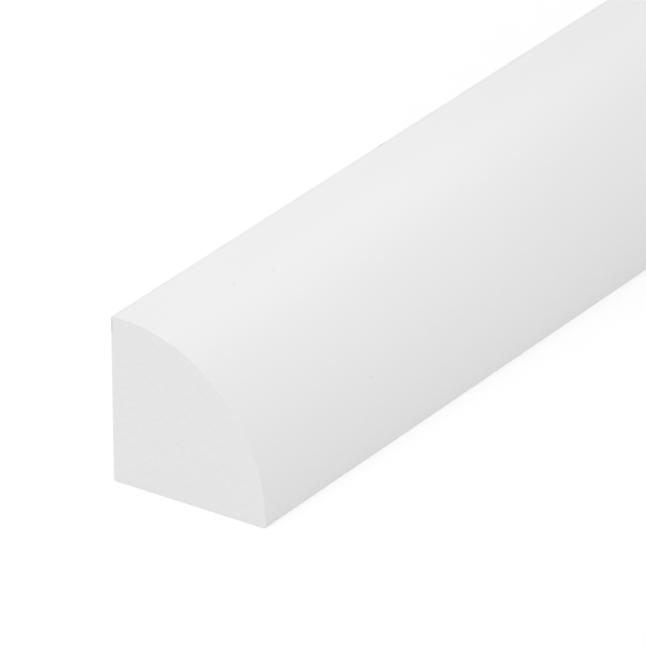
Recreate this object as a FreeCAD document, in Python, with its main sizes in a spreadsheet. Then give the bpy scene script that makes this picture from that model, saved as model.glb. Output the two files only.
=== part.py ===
import FreeCAD, Part
import os
from math import pi

import Sketcher

V = FreeCAD.Vector
SKETCH_NORMAL = V(0, 0, 1)
START_INDEX, END_INDEX = 1, 2
X_AXIS_INDEX, Y_AXIS_INDEX = -1, -2
SAME_PLACE = 1e-4   # mm

# Sizes in mm, apart from flat_share. The leg is a trade size and so is the length.
SIZES = [
    ("leg", 19.05, "height and depth of the section"),
    ("edge_flat", 1.1, "flat strip between the round and each square edge"),
    ("arris", 0.35, "rounding that the die leaves on the long edges"),
    ("flat_share", 0.8, "most of a flat strip that the rounding may take"),
    ("length", 2438.4, "length of the stick"),
    ("end_arris", 0.1, "saw-cut edge broken at each end"),
]


def make_sheet(doc):
    sheet = doc.addObject("Spreadsheet::Sheet", "Sizes")
    for row, (alias, value, note) in enumerate(SIZES, start=1):
        sheet.set(f"A{row}", alias)
        sheet.set(f"B{row}", str(value))
        sheet.set(f"C{row}", note)
        sheet.setAlias(f"B{row}", alias)
    doc.recompute()
    return sheet


def origin_plane(body, role):
    return next(f for f in body.Origin.OriginFeatures if f.Role == role)


def arc(centre, radius, first, last):
    circle = Part.Circle(centre, SKETCH_NORMAL, radius)
    return Part.ArcOfCircle(circle, first, last)


# The section as seen from the stick's +X end. The square corner is at the sketch's
# origin, with the back up the Y axis, the base along the X axis to the left of it,
# and the round from the top of the back down to the tip of the base.
def draw_section(body, sheet):
    sketch = body.newObject("Sketcher::SketchObject", "Section")
    sketch.AttachmentSupport = [(origin_plane(body, "YZ_Plane"), "")]
    sketch.MapMode = "FlatFace"

    leg, flat, ease = sheet.leg, sheet.edge_flat, sheet.arris
    outline = [
        Part.LineSegment(V(ease - leg, 0), V(-ease, 0)),
        arc(V(-ease, ease), ease, -pi / 2, 0),
        Part.LineSegment(V(0, ease), V(0, leg - ease)),
        arc(V(-ease, leg - ease), ease, 0, pi / 2),
        Part.LineSegment(V(-ease, leg), V(-flat, leg)),
        arc(V(-flat, flat), leg - flat, pi / 2, pi),
        Part.LineSegment(V(-leg, flat), V(-leg, ease)),
        arc(V(ease - leg, ease), ease, pi, 3 * pi / 2),
    ]
    sketch.addGeometry(outline, False)
    base, heel, back, crown, top, bow, tip, toe = range(len(outline))

    # Every edge runs smoothly into the next one.
    for edge in range(len(outline)):
        following = (edge + 1) % len(outline)
        sketch.addConstraint(Sketcher.Constraint("Tangent", edge, END_INDEX, following, START_INDEX))
    for edge in (base, top):
        sketch.addConstraint(Sketcher.Constraint("Horizontal", edge))
    for edge in (back, tip):
        sketch.addConstraint(Sketcher.Constraint("Vertical", edge))
    for edge in (crown, toe):
        sketch.addConstraint(Sketcher.Constraint("Equal", heel, edge))
    sketch.addConstraint(Sketcher.Constraint("PointOnObject", base, START_INDEX, X_AXIS_INDEX))
    sketch.addConstraint(Sketcher.Constraint("PointOnObject", back, START_INDEX, Y_AXIS_INDEX))

    arris_size = "min(Sizes.arris; Sizes.flat_share * Sizes.edge_flat)"
    sizes = [
        ("depth", ("DistanceX", tip, END_INDEX, back, START_INDEX, leg), "Sizes.leg"),
        ("height", ("DistanceY", base, START_INDEX, top, START_INDEX, leg), "Sizes.leg"),
        ("round_radius", ("Radius", bow, leg - flat), "Sizes.leg - Sizes.edge_flat"),
        ("arris_radius", ("Radius", heel, ease), arris_size),
    ]
    for name, constraint, expression in sizes:
        index = sketch.addConstraint(Sketcher.Constraint(*constraint))
        sketch.renameConstraint(index, name)
        sketch.setExpression(f"Constraints.{name}", expression)
    return sketch


# The edges round the two saw cuts, by name.
def end_edges(stick):
    box = stick.Shape.BoundBox
    names = []
    for number, edge in enumerate(stick.Shape.Edges, start=1):
        span = edge.BoundBox
        at_near_end = span.XMax < box.XMin + SAME_PLACE
        at_far_end = span.XMin > box.XMax - SAME_PLACE
        if at_near_end or at_far_end:
            names.append(f"Edge{number}")
    return names


# The origin is under the middle of the stick, half way from its back to its tip.
def make_moulding(doc, sheet):
    body = doc.addObject("PartDesign::Body", "quarter_round")
    body.Label = "quarter_round"
    body.setExpression("Placement.Base.y", "Sizes.leg / 2")
    section = draw_section(body, sheet)
    doc.recompute()

    stick = body.newObject("PartDesign::Pad", "Stick")
    stick.Profile = section
    stick.SideType = "Symmetric"
    stick.setExpression("Length", "Sizes.length")
    doc.recompute()

    ends = body.newObject("PartDesign::Chamfer", "BrokenEnds")
    ends.Base = (stick, end_edges(stick))
    ends.setExpression("Size", "Sizes.end_arris")
    doc.recompute()
    return body


def check(doc, body):
    for item in doc.Objects:
        if {"Invalid", "Error"} & set(item.State):
            raise RuntimeError(f"{item.Name} did not recompute: {item.State}")
    if body.Shape.isNull() or not body.Shape.isValid():
        raise RuntimeError(f"{body.Label} has no valid shape")


document = FreeCAD.newDocument("QuarterRound")
moulding = make_moulding(document, make_sheet(document))
check(document, moulding)

os.makedirs("parts", exist_ok=True)
moulding.Shape.exportStep(f"parts/{moulding.Label}.step")
print(f"{moulding.Label}: {moulding.Shape.Volume:.0f} mm3, {len(moulding.Shape.Faces)} faces")
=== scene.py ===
import math

import bmesh
import bpy
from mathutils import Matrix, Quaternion, Vector


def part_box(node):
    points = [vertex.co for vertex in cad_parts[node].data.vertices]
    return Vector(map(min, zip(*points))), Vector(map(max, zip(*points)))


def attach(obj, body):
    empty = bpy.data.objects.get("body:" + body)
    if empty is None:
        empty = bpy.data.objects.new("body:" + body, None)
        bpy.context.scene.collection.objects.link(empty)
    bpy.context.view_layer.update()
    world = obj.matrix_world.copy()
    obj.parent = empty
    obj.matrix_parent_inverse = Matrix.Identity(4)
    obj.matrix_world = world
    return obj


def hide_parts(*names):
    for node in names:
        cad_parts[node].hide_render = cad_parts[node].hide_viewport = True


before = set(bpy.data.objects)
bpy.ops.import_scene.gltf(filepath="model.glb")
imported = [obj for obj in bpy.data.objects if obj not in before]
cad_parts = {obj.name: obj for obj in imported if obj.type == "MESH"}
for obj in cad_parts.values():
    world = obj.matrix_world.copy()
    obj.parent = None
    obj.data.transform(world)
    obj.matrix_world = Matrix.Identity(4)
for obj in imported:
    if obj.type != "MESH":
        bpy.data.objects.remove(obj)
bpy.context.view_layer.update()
scene = bpy.context.scene
scene.view_settings.view_transform = "Standard"

mm = 0.001
stockLow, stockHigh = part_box("quarter_round")
nearHeel = Vector((stockLow.x, stockHigh.y, stockLow.z))   # square corner of the near saw cut
leg = stockHigh.z - stockLow.z
print("frame loaded, leg", round(leg / mm, 2), "mm")


def linearColor(hexText):
    parts = [int(hexText[i:i + 2], 16) / 255 for i in (1, 3, 5)]
    return [c / 12.92 if c <= 0.04045 else ((c + 0.055) / 1.055) ** 2.4 for c in parts] + [1.0]


# Adds a node, sets what is plain on it and links what comes from another node. Inputs are given in
# their order or by identifier, with _ for a space. A node stands for its first output in use.
def addNode(tree, kind, settings=None, *inputs, **named):
    node = tree.nodes.new("ShaderNode" + kind)
    for name, value in (settings or {}).items():
        setattr(node, name, value)
    sockets = {socket.identifier.replace(" ", "_"): socket for socket in node.inputs}
    given = list(zip(node.inputs, inputs)) + [(sockets[name], value) for name, value in named.items()]
    for socket, value in given:
        if isinstance(value, bpy.types.Node):
            value = next(output for output in value.outputs if output.enabled)
        if isinstance(value, bpy.types.NodeSocket):
            tree.links.new(value, socket)
        else:
            socket.default_value = value
    return node


def newMaterial(name):
    material = bpy.data.materials.new(name)
    material.use_nodes = True
    material.node_tree.nodes.clear()
    return material, material.node_tree


# Small darker marks in the colour. Each is a soft ellipsoid that the surface passes through.
def addBlemishes(tree, place, shade, blemishes):
    core = 0.4   # share of the ellipsoid that has the full shade
    for start, end, radius, depth in blemishes:
        start, end = nearHeel + Vector(start) * mm, nearHeel + Vector(end) * mm
        run = end - start
        inside = addNode(tree, "Mapping", {"vector_type": "TEXTURE"}, Vector=place,
                         Location=(start + end) / 2, Rotation=run.to_track_quat("X", "Z").to_euler(),
                         Scale=(run.length / 2 + radius * mm, radius * mm, radius * mm))
        size = addNode(tree, "VectorMath", {"operation": "LENGTH"}, inside)
        spot = addNode(tree, "MapRange", Value=size, From_Min=1.0, From_Max=core, To_Max=depth)
        shade = addNode(tree, "Math", {"operation": "MAXIMUM"}, shade, spot)
    return shade


# Extruded cellular PVC as it leaves the die: a closed white skin, satin rather than glossy. The die
# draws faint lines along the stick, and the foam behind the skin lifts it into a slight orange peel.
# The edges of the back are greyed in patches: some wear from handling, and painted shade where the
# arris of the crown turns away from the light.
skinLook = {
    "pale": "#f2f2f2",
    "dull": "#eeeeee",
    "grey": "#b4b4b2",                        # specks, the painted edge shade with its wear, and blemishes turn towards this
    "roughness": (0.285, 0.335),
    "ior": 1.53,
    "cloudSize": 32 * mm,                     # soft unevenness of the white
    "cloudStretch": 2.5,                      # along the stick
    "linePitch": 0.9 * mm,                    # really about 0.3 mm, drawn coarser so that it shows
    "lineLength": 300 * mm,
    "lineDepth": 0.03 * mm,
    "lineShare": 0.1,                         # of the lines in the white's unevenness, beside the clouds
    "unevenRange": (0.325, 0.775),            # of clouds and lines together, from dull to pale
    "sheenRange": (0.3, 0.7),                 # of the lines, from smooth to rough
    "peelSize": 1.6 * mm,
    "peelDepth": 0.02 * mm,
    "speckSpacing": 11 * mm,
    "speckRadius": (0.16 * mm, 0.08 * mm),    # no shade past the first, full shade within the second
    "speckShade": 0.22,
    "edgeWidth": (0.7 * mm, 0.28 * mm),       # likewise, for the painted edge shade and wear
    "edgeShadeAndWearLength": 4 * mm,
    "edgeShadeAndWearRange": (0.42, 0.72),               # of the noise along the edges, from least to most greyed
    "edgeShadeAndWearDepth": (0.06, 0.18),
    # Two ends in mm from the near heel, radius in mm, shade.
    "blemishes": (
        ((14.12, -5.46, 18.51), (13.42, -5.98, 18.37), 0.24, 0.10),
        ((19.54, -6.68, 18.16), (18.96, -7.13, 18.01), 0.24, 0.06),
        ((20.85, -17.59, 8.19), (21.45, -17.75, 7.80), 0.20, 0.14),
        # a darker dash along the edge of the crown, in the colour alone
        ((47.56, -0.20, 18.98), (49.62, -0.20, 18.98), 0.22, 0.90),
    ),
}


def makeSkin():
    look = skinLook
    material, tree = newMaterial("extrudedPvcSkin")
    place = addNode(tree, "TexCoord").outputs["Object"]

    # Clouds and die lines, both drawn out along the stick.
    drawn = addNode(tree, "Mapping", Vector=place, Scale=(look["linePitch"] / look["lineLength"], 1, 1))
    lines = addNode(tree, "TexNoise", Vector=drawn, Scale=1 / look["linePitch"], Detail=2.0)
    slow = addNode(tree, "Mapping", Vector=place, Scale=(1 / look["cloudStretch"], 1, 1))
    clouds = addNode(tree, "TexNoise", Vector=slow, Scale=1 / look["cloudSize"], Detail=2.0)
    uneven = addNode(tree, "Math", {"operation": "MULTIPLY_ADD"}, lines, look["lineShare"], clouds)
    paleness = addNode(tree, "MapRange", {}, uneven, *look["unevenRange"])
    white = addNode(tree, "Mix", {"data_type": "RGBA"}, paleness,
                    A_Color=linearColor(look["dull"]), B_Color=linearColor(look["pale"]))

    # Specks: a few grains of grey close under the surface.
    grains = addNode(tree, "TexVoronoi", Vector=place, Scale=1 / look["speckSpacing"])
    reach = [radius / look["speckSpacing"] for radius in look["speckRadius"]]
    specks = addNode(tree, "MapRange", {}, grains, *reach, To_Max=look["speckShade"])

    # Painted shade with some wear comes and goes along the two edges of the back; on the crown it stands
    # for the arris turning away from the light.
    section = addNode(tree, "Mapping", Vector=place, Scale=(0, 1, 1))
    toHeel, toCrown = [
        addNode(tree, "VectorMath", {"operation": "DISTANCE"}, section, (0, stockHigh.y, z))
        for z in (stockLow.z, stockHigh.z)]
    toEdge = addNode(tree, "Math", {"operation": "MINIMUM"}, toHeel, toCrown)
    edge = addNode(tree, "MapRange", {}, toEdge, *look["edgeWidth"])
    edgeShadeAndWearNoise = addNode(tree, "TexNoise", Vector=place, Scale=1 / look["edgeShadeAndWearLength"], Detail=3.0)
    edgeShadeAndWearAmount = addNode(tree, "MapRange", {}, edgeShadeAndWearNoise, *look["edgeShadeAndWearRange"], *look["edgeShadeAndWearDepth"])
    edgeShadeAndWear = addNode(tree, "Math", {"operation": "MULTIPLY"}, edge, edgeShadeAndWearAmount)

    # The painted edge shade joins the specks here.
    shade = addNode(tree, "Math", {"operation": "MAXIMUM"}, specks, edgeShadeAndWear)
    shade = addBlemishes(tree, place, shade, look["blemishes"])
    color = addNode(tree, "Mix", {"data_type": "RGBA"}, shade,
                    A_Color=white, B_Color=linearColor(look["grey"]))

    # Sheen and relief. The greyed edges are rougher too, where they are worn.
    sheen = addNode(tree, "MapRange", {}, lines, *look["sheenRange"], *look["roughness"])
    roughness = addNode(tree, "Math", {"operation": "ADD"}, sheen, edgeShadeAndWear)
    peel = addNode(tree, "TexNoise", Vector=place, Scale=1 / look["peelSize"], Detail=1.0)
    relief = addNode(tree, "Bump", Height=lines, Distance=look["lineDepth"])
    relief = addNode(tree, "Bump", Height=peel, Distance=look["peelDepth"], Normal=relief)
    shader = addNode(tree, "BsdfPrincipled", Base_Color=color, IOR=look["ior"],
                     Roughness=roughness, Normal=relief)
    addNode(tree, "OutputMaterial", Surface=shader)
    return material


# The same PVC opened by the saw. Cut cells and the blade's sweep leave it matt, and the dense skin
# shows as a smoother rim round the foam.
sawnLook = {
    "color": "#f0f0f0",
    "grey": "#b4b4b2",                    # painted shade in the opened cells, and blemishes, turn towards this
    "roughness": 0.66,
    "ior": 1.53,
    "cellSize": 0.32 * mm,                # really about 0.1 mm, drawn coarser so that they show
    "cellOpening": (0.42, 0.18),          # of a cell: shut past the first, open within the second
    "cellHollowShade": 0.05,
    "cellDepth": 0.006 * mm,
    "rimWidth": (0.3 * mm, 0.9 * mm),     # skin within the first, foam past the second
    "sweepPitch": 1.1 * mm,
    "sweepDepth": 0.012 * mm,
    "bladeCenter": (70 * mm, 100 * mm),   # behind and above the heel
    # Two ends in mm from the near heel, radius in mm, shade.
    "blemishes": (
        # a darker sliver down the back edge of the cut, in the colour alone
        ((0.0, -0.10, 17.00), (0.0, -0.10, 18.90), 0.15, 0.60),
    ),
}


def makeSawnEnd():
    look = sawnLook
    material, tree = newMaterial("sawnCellularPvc")
    place = addNode(tree, "TexCoord").outputs["Object"]
    section = addNode(tree, "Mapping", Vector=place, Scale=(0, 1, 1))

    # Distance in from the nearest of back, base and round.
    flat = mouldingLook["edgeFlat"]
    yz = addNode(tree, "SeparateXYZ", Vector=section).outputs
    radius = addNode(tree, "VectorMath", {"operation": "DISTANCE"}, section,
                     (0, stockHigh.y - flat, stockLow.z + flat))
    fromBack = addNode(tree, "Math", {"operation": "SUBTRACT"}, stockHigh.y, yz["Y"])
    fromBase = addNode(tree, "Math", {"operation": "SUBTRACT"}, yz["Z"], stockLow.z)
    fromRound = addNode(tree, "Math", {"operation": "SUBTRACT"}, leg - flat, radius)
    inward = addNode(tree, "Math", {"operation": "MINIMUM"}, fromBack, fromBase)
    inward = addNode(tree, "Math", {"operation": "MINIMUM"}, inward, fromRound)
    foam = addNode(tree, "MapRange", {"interpolation_type": "SMOOTHSTEP"}, inward, *look["rimWidth"])

    # The cut opens some cells wide and only grazes others. The opened cells get painted shade in their
    # hollows.
    cells = addNode(tree, "TexVoronoi", Vector=place, Scale=1 / look["cellSize"])
    opened = addNode(tree, "MapRange", {}, cells, *look["cellOpening"])
    pores = addNode(tree, "Math", {"operation": "MULTIPLY"}, opened, foam)

    # The blade's sweep, in arcs about its axle. A ring of the wave repeats every tau / 20.
    axle = Vector((0, stockHigh.y + look["bladeCenter"][0], stockLow.z + look["bladeCenter"][1]))
    aboutAxle = addNode(tree, "Mapping", Vector=place, Scale=(0, 1, 1), Location=-axle)
    sweep = addNode(tree, "TexWave", {"wave_type": "RINGS", "rings_direction": "SPHERICAL"},
                    Vector=aboutAxle, Scale=math.tau / 20 / look["sweepPitch"],
                    Distortion=3.0, Detail=2.0, Detail_Scale=0.6)

    # Painted shade in the hollows of the opened cells.
    paintedCellShade = addNode(tree, "Math", {"operation": "MULTIPLY"}, pores, look["cellHollowShade"])
    shade = addBlemishes(tree, place, paintedCellShade, look["blemishes"])
    color = addNode(tree, "Mix", {"data_type": "RGBA"}, shade,
                    A_Color=linearColor(look["color"]), B_Color=linearColor(look["grey"]))
    relief = addNode(tree, "Bump", Height=sweep.outputs["Fac"], Distance=look["sweepDepth"])
    relief = addNode(tree, "Bump", {"invert": True}, Height=pores, Distance=look["cellDepth"],
                     Normal=relief)
    shader = addNode(tree, "BsdfPrincipled", Base_Color=color, IOR=look["ior"],
                     Roughness=look["roughness"], Normal=relief)
    addNode(tree, "OutputMaterial", Surface=shader)
    return material


mouldingLook = {
    "edgeFlat": 1.1 * mm,     # strip between the round and each square edge
    "arris": 0.35 * mm,       # rounding of the long edges
    "endArris": 0.1 * mm,     # broken edge of the saw cuts
    "roundSteps": 72,
    "arrisSteps": 6,
    "endSteps": 2,
    "lengthSteps": 63,
    "nearSteps": 3,           # of those, the stretch that the photo shows
    "nearZoom": 3.0,          # how much larger the map draws that stretch
    "endZoom": 5.0,           # and the saw cuts
    "mapRuns": 5,             # the rest of the skin lies in the map in this many lengths
    "mapGap": 1.5 * mm,
}


def buildMoulding():
    look = mouldingLook
    flat, arris = look["edgeFlat"], look["arris"]
    longest = leg * 2   # edges of the section are shorter than this, and those along the stick longer
    squareOn = 0.99     # a face that looks along the stick by more than this is a saw cut
    x = stockLow.x
    bm = bmesh.new()

    # Section: the round is spun down from the top, and the three square corners follow.
    crest = bm.verts.new((x, stockHigh.y - flat, stockHigh.z))
    swept = bmesh.ops.spin(bm, geom=[crest], cent=(x, stockHigh.y - flat, stockLow.z + flat),
                           axis=(1, 0, 0), angle=math.radians(90), steps=look["roundSteps"])
    tip = swept["geom_last"][0]
    corners = []
    for y, z in ((stockLow.y, stockLow.z), (stockHigh.y, stockLow.z), (stockHigh.y, stockHigh.z)):
        tip = bmesh.ops.extrude_vert_indiv(bm, verts=[tip])["verts"][0]
        tip.co = (x, y, z)
        corners.append(tip)
    bm.edges.new((tip, crest))
    bmesh.ops.contextual_create(bm, geom=bm.edges[:])
    bmesh.ops.bevel(bm, geom=corners, offset=arris, offset_type="OFFSET", affect="VERTICES",
                    segments=look["arrisSteps"], profile=0.5, material=-1)

    # Each vertex keeps its way round the section from the heel, for the map.
    girth = bm.verts.layers.float.new("girth")
    bm.faces.ensure_lookup_table()
    step = min(bm.faces[0].loops, key=lambda loop: (loop.vert.co - nearHeel).length)
    around = 0.0
    for _ in range(len(bm.faces[0].loops)):
        step.vert[girth] = around
        around += step.edge.calc_length()
        step = step.link_loop_next

    # Length, then the broken edges round both saw cuts.
    drawn = bmesh.ops.extrude_face_region(bm, geom=bm.faces[:])
    farVerts = [item for item in drawn["geom"] if isinstance(item, bmesh.types.BMVert)]
    bmesh.ops.translate(bm, verts=farVerts, vec=(stockHigh.x - stockLow.x, 0, 0))
    bmesh.ops.recalc_face_normals(bm, faces=bm.faces)
    rims = [edge for edge in bm.edges if edge.calc_length() < longest]
    bmesh.ops.bevel(bm, geom=rims, offset=look["endArris"], offset_type="OFFSET", affect="EDGES",
                    segments=look["endSteps"], profile=0.5, material=-1)
    runs = [edge for edge in bm.edges if edge.calc_length() > longest]
    bmesh.ops.subdivide_edges(bm, edges=runs, cuts=look["lengthSteps"] - 1, use_grid_fill=True)
    bm.normal_update()

    # Map: the skin unrolled from the heel. Most of it lies in equal lengths, one above the other. The
    # near stretch, which has the marks, lies larger above them, with the saw cuts beside it.
    unrolled = bm.loops.layers.uv.new("OFBake")
    gap, nearZoom, endZoom = look["mapGap"], look["nearZoom"], look["endZoom"]
    length = stockHigh.x - stockLow.x
    stepLength = length / look["lengthSteps"]
    nearLength = stepLength * look["nearSteps"]
    runLength = stepLength * math.ceil((look["lengthSteps"] - look["nearSteps"]) / look["mapRuns"])
    pitch = around + gap
    top = pitch * look["mapRuns"]
    wide, high = runLength + gap, top + around * nearZoom + gap
    for face in bm.faces:
        face.smooth = True
        face.material_index = 1 if abs(face.normal.x) > squareOn else 0
        middle = face.calc_center_median().x - stockLow.x
        run = min(int((middle - nearLength) / runLength), look["mapRuns"] - 1)
        crossesHeel = max(v[girth] for v in face.verts) - min(v[girth] for v in face.verts) > around / 2
        for loop in face.loops:
            at, way = loop.vert.co - stockLow, loop.vert[girth]
            if crossesHeel and way < around / 2:
                way += around
            if face.material_index == 1:
                across = nearLength * nearZoom + gap + at.y * endZoom
                up = top + at.z * endZoom + (leg * endZoom + gap if middle > length / 2 else 0)
            elif middle < nearLength:
                across, up = at.x * nearZoom, top + way * nearZoom
            else:
                across, up = at.x - nearLength - run * runLength, run * pitch + way
            loop[unrolled].uv = ((across + gap / 2) / wide, (up + gap / 2) / high)
    bm.verts.layers.float.remove(girth)

    # Bevels leave the order of what they make to chance, so it is set here.
    for parts, where in ((bm.verts, lambda vert: vert.co[:]),
                         (bm.faces, lambda face: face.calc_center_median()[:])):
        rank = {part: place for place, part in enumerate(sorted(parts, key=where))}
        parts.sort(key=rank.get)

    mesh = bpy.data.meshes.new("quarterRoundStick")
    bm.to_mesh(mesh)
    bm.free()
    stick = bpy.data.objects.new("quarter_round_stick", mesh)
    scene.collection.objects.link(stick)
    mesh.materials.append(makeSkin())
    mesh.materials.append(makeSawnEnd())
    evenShading = stick.modifiers.new("evenShading", "WEIGHTED_NORMAL")
    evenShading.weight = 100
    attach(stick, "root")
    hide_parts("quarter_round")
    return stick


stick = buildMoulding()
print("stick built,", len(stick.data.polygons), "faces")


stageLook = {
    "floorColor": "#dfdfdf",    # what the floor throws back onto the stick
    "shadeColor": "#bcbcbc",    # what the camera sees of the floor's own shading, so its shadows stay
    "floorGlow": 0.545,         # and the white that goes with it
    "floorSize": 60.0,          # metres
    "ambient": 0.884,
}


# 1 for rays from the camera and for those that a shiny surface sends on.
def seenRays(tree):
    path = addNode(tree, "LightPath").outputs
    shiny = addNode(tree, "Math", {"operation": "MAXIMUM"},
                    path["Is Glossy Ray"], path["Is Transmission Ray"])
    return addNode(tree, "Math", {"operation": "MAXIMUM"}, path["Is Camera Ray"], shiny)


def buildStage():
    material, tree = newMaterial("paleFloor")
    paint = addNode(tree, "BsdfDiffuse", Color=linearColor(stageLook["floorColor"]))
    shade = addNode(tree, "BsdfDiffuse", Color=linearColor(stageLook["shadeColor"]))
    glow = addNode(tree, "Emission", Strength=stageLook["floorGlow"])
    seen = addNode(tree, "AddShader", {}, shade, glow)
    mixed = addNode(tree, "MixShader", {}, seenRays(tree), paint, seen)
    addNode(tree, "OutputMaterial", Surface=mixed)

    bm = bmesh.new()
    bmesh.ops.create_grid(bm, x_segments=1, y_segments=1, size=stageLook["floorSize"] / 2)
    mesh = bpy.data.meshes.new("floor")
    bm.to_mesh(mesh)
    bm.free()
    mesh.materials.append(material)
    floor = bpy.data.objects.new("floor", mesh)
    floor.location.z = stockLow.z
    scene.collection.objects.link(floor)

    world = bpy.data.worlds.new("whiteRoom")
    world.use_nodes = True
    tree = world.node_tree
    tree.nodes.clear()
    white = (1, 1, 1, 1)
    room = addNode(tree, "Background", Color=white, Strength=stageLook["ambient"])
    seen = addNode(tree, "Background", Color=white, Strength=1.0)
    mixed = addNode(tree, "MixShader", {}, seenRays(tree), room, seen)
    addNode(tree, "OutputWorld", Surface=mixed)
    scene.world = world


buildStage()
print("floor and room ready")


lampLook = {
    "endFill": {"kind": "AREA", "power": 3.43, "wide": 0.9, "high": 0.9,
                "from": (-1.6, -0.1, 0.25), "along": 0.0},
    "farSoft": {"kind": "AREA", "power": 0.76, "wide": 0.91, "high": 0.56,
                "from": (1.48, 0.08, 1.34), "along": 0.0},
    "nearSpot": {"kind": "SPOT", "power": 4.56, "wide": 0.1, "cone": 6.0,
                 "from": (-0.25, -0.15, 1.1), "along": 12 * mm},
}


# Each lamp stands off from the near heel and looks at a place that far along the stick.
def buildLamps():
    for name, look in lampLook.items():
        data = bpy.data.lights.new(name, look["kind"])
        data.energy = look["power"]
        if look["kind"] == "SPOT":
            data.shadow_soft_size = look["wide"] / 2
            data.spot_size = math.radians(look["cone"])
            data.spot_blend = 1.0
        else:
            data.shape = "RECTANGLE"
            data.size, data.size_y = look["wide"], look["high"]
        lamp = bpy.data.objects.new(name, data)
        lamp.location = nearHeel + Vector(look["from"])
        aim = Vector((look["along"], 0, 0)) - Vector(look["from"])
        lamp.rotation_euler = aim.to_track_quat("-Z", "Y").to_euler()
        lamp.visible_camera = False
        scene.collection.objects.link(lamp)


buildLamps()
print("lamps set")


cameraLook = {
    "photoSide": 646,                # pixels
    "heelPixel": (113.74, 480.73),   # where the near heel lies in the photo
    "legPixels": 185.13,             # a leg of the section, seen square on at the near heel
    "lens": 533.5,                   # mm, as is the sensor
    "sensor": 36.0,
    "heading": 34.852,               # degrees from +X towards +Y
    "down": 26.7,
    "roll": -0.465,
}


def buildCamera():
    look = cameraLook
    data = bpy.data.cameras.new("photoCamera")
    data.sensor_width = look["sensor"]
    data.lens = look["lens"]
    camera = bpy.data.objects.new("photoCamera", data)
    scene.collection.objects.link(camera)
    heading, down = math.radians(look["heading"]), math.radians(look["down"])
    gaze = Vector((math.cos(heading) * math.cos(down), math.sin(heading) * math.cos(down),
                   -math.sin(down)))
    turn = Quaternion(gaze, math.radians(-look["roll"])) @ gaze.to_track_quat("-Z", "Y")
    # Stand off so that a leg has its size in the photo, and aside so that the heel has its place.
    lensPixels = look["lens"] / look["sensor"] * look["photoSide"]
    away = leg * lensPixels / look["legPixels"]
    middle = look["photoSide"] / 2
    right = (look["heelPixel"][0] - middle) / lensPixels * away
    up = (middle - look["heelPixel"][1]) / lensPixels * away
    camera.rotation_mode = "QUATERNION"
    camera.rotation_quaternion = turn
    camera.location = nearHeel - turn @ Vector((right, up, -away))
    scene.camera = camera


buildCamera()
print("camera placed at", [round(c, 3) for c in scene.camera.location])
